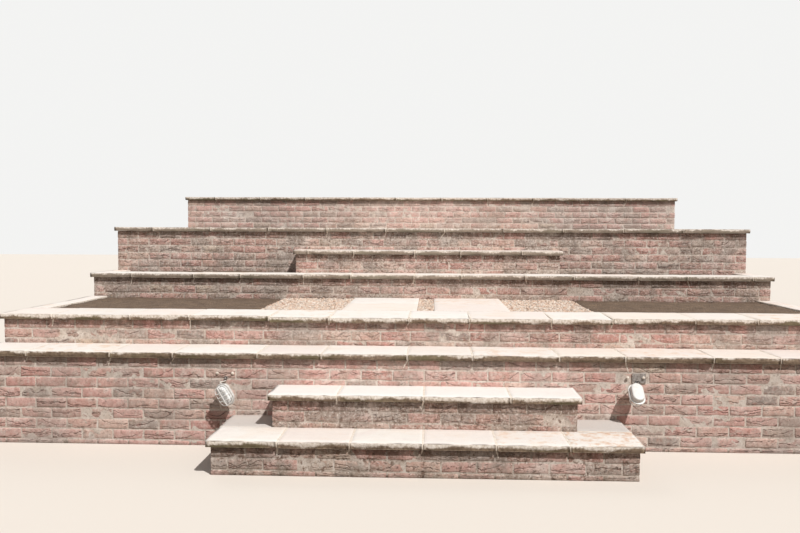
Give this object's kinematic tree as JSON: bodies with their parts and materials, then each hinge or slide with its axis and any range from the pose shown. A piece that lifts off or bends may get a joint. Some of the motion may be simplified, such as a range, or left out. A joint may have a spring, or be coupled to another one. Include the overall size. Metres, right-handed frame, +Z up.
{
  "type": "outdoor garden steps of brick and sandstone",
  "caption": "Flight of brick risers with sandstone treads, set in stepped retaining walls with a landing, planting beds, an upper terrace and two swivelling wall lamps.",
  "frame": {"origin": "under the middle of the whole piece, at paving level", "axes": "+X along the treads to the right as seen from the foot of the steps, +Y up the flight into the bank, +Z up"},
  "size_m": [6.575, 6.09, 1.99],
  "materials": {
    "brick": "rough handmade facing brick, creased, in buff lime mortar",
    "sandstone": "riven, weathered, with moss on the edges",
    "concrete": "rough cast",
    "hardcore": "compacted hardcore and earth",
    "gravel": "loose rounded gravel, buff and pink",
    "soil": "crumbled garden soil",
    "fixing_metal": "weathered grey",
    "black_metal": "satin black",
    "white_housing": "weathered white enamel",
    "lamp_glass": "ribbed, a little dusty",
    "guard_wire": "white coated wire"
  },
  "bodies": {
    "steps": {"step_1_brickwork": "brick", "step_1_core": "concrete", "step_1_slabs": "sandstone", "step_2_brickwork": "brick", "step_2_core": "concrete", "step_2_slabs": "sandstone", "lower_wall": "brick", "bench_fill": "hardcore", "tread_3_slabs": "sandstone", "riser_4_wall": "brick", "tread_4_slabs": "sandstone", "landing_fill": "hardcore", "landing_slabs": "sandstone", "landing_gravel": "gravel", "landing_beds": "soil", "middle_wall": "brick", "tread_5_slabs": "sandstone", "upper_fill": "hardcore", "upper_beds": "soil", "step_6_brickwork": "brick", "step_6_core": "concrete", "step_6_slabs": "sandstone", "upper_wall": "brick", "tread_7_slabs": "sandstone", "terrace_fill": "hardcore", "terrace_slabs": "sandstone", "terrace_gravel": "gravel", "terrace_beds": "soil", "back_wall": "brick", "back_wall_coping": "sandstone", "left_end_wall": "brick", "right_end_wall": "brick", "left_end_coping": "sandstone", "right_end_coping": "sandstone", "left_lamp_fixing": "fixing_metal", "right_lamp_fixing": "fixing_metal"},
    "left_lamp": {"left_lamp_swivel": "black_metal", "left_lamp_housing": "white_housing", "left_lamp_glass": "lamp_glass", "left_lamp_guard": "guard_wire"},
    "right_lamp": {"right_lamp_swivel": "black_metal", "right_lamp_housing": "white_housing", "right_lamp_glass": "lamp_glass", "right_lamp_guard": "guard_wire"}
  },
  "joints": [
    {"name": "left_lamp_swing", "type": "hinge", "parent": "steps", "child": "left_lamp", "pos_m": [-1.42, -2.325, 0.493], "axis": [0, 1, 0], "range_deg": [-45, 45]},
    {"name": "right_lamp_swing", "type": "hinge", "parent": "steps", "child": "right_lamp", "pos_m": [1.495, -2.325, 0.493], "axis": [0, 1, 0], "range_deg": [-45, 45]}
  ]
}
